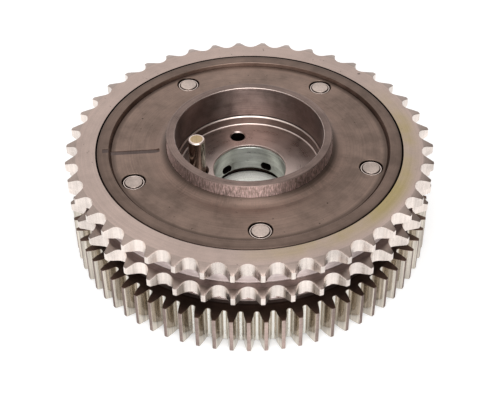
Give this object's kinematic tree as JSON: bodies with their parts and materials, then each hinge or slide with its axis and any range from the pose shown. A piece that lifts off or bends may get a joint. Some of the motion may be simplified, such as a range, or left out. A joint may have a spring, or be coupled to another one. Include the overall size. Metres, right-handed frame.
{
  "type": "cam phaser",
  "caption": "Vane-type camshaft phaser: duplex chain sprocket and spur gear round a vaned rotor with a lock pin, clamped between a collared rear cover and a front cover.",
  "frame": {"origin": "on the camshaft axis, in the plane of the flat front face that the part rests on", "axes": "+Z along the axis towards the camshaft and the collar; +X and +Y across, with the dowel pin near -X"},
  "size_m": [0.13, 0.1298, 0.0419],
  "materials": {
    "sprocket_steel": "satin ground steel",
    "gear_steel": "bright ground flanks with dark oxide faces",
    "cover_steel": "dark turned steel",
    "rotor_steel": "turned steel",
    "screw_steel": "bright screw ends",
    "pin_steel": "hardened ground steel",
    "spring_steel": "spring steel",
    "sleeve_plating": "greenish grey plating",
    "seal_resin": "dark seal resin"
  },
  "bodies": {
    "housing": {"sprocket_housing": "sprocket_steel", "spur_gear": "gear_steel", "rear_cover": "cover_steel", "front_cover": "cover_steel", "cover_screw_1": "screw_steel", "cover_screw_2": "screw_steel", "cover_screw_3": "screw_steel", "cover_screw_4": "screw_steel", "cover_screw_5": "screw_steel", "lock_seat_bush": "pin_steel"},
    "rotor": {"rotor": "rotor_steel", "dowel_pin": "pin_steel", "centre_sleeve": "sleeve_plating", "centre_bush": "sleeve_plating", "vane_seal_1": "seal_resin", "vane_seal_2": "seal_resin", "vane_seal_3": "seal_resin", "vane_seal_4": "seal_resin", "vane_seal_5": "seal_resin", "seal_spring_1": "spring_steel", "seal_spring_2": "spring_steel", "seal_spring_3": "spring_steel", "seal_spring_4": "spring_steel", "seal_spring_5": "spring_steel", "lock_plug": "cover_steel", "lock_spring": "spring_steel"},
    "lock_pin": {"lock_pin": "pin_steel"}
  },
  "joints": [
    {"name": "rotor_phase", "type": "hinge", "parent": "housing", "child": "rotor", "pos_m": [0, 0, 0.018], "axis": [0, 0, 1], "range_deg": [-3, 17]},
    {"name": "lock_pin_slide", "type": "slide", "parent": "rotor", "child": "lock_pin", "axis": [0, 0, 1], "range_m": [0, 0.003], "stiffness_N_per_m": 400, "springref_m": -0.005, "deforming": ["lock_spring"]}
  ]
}
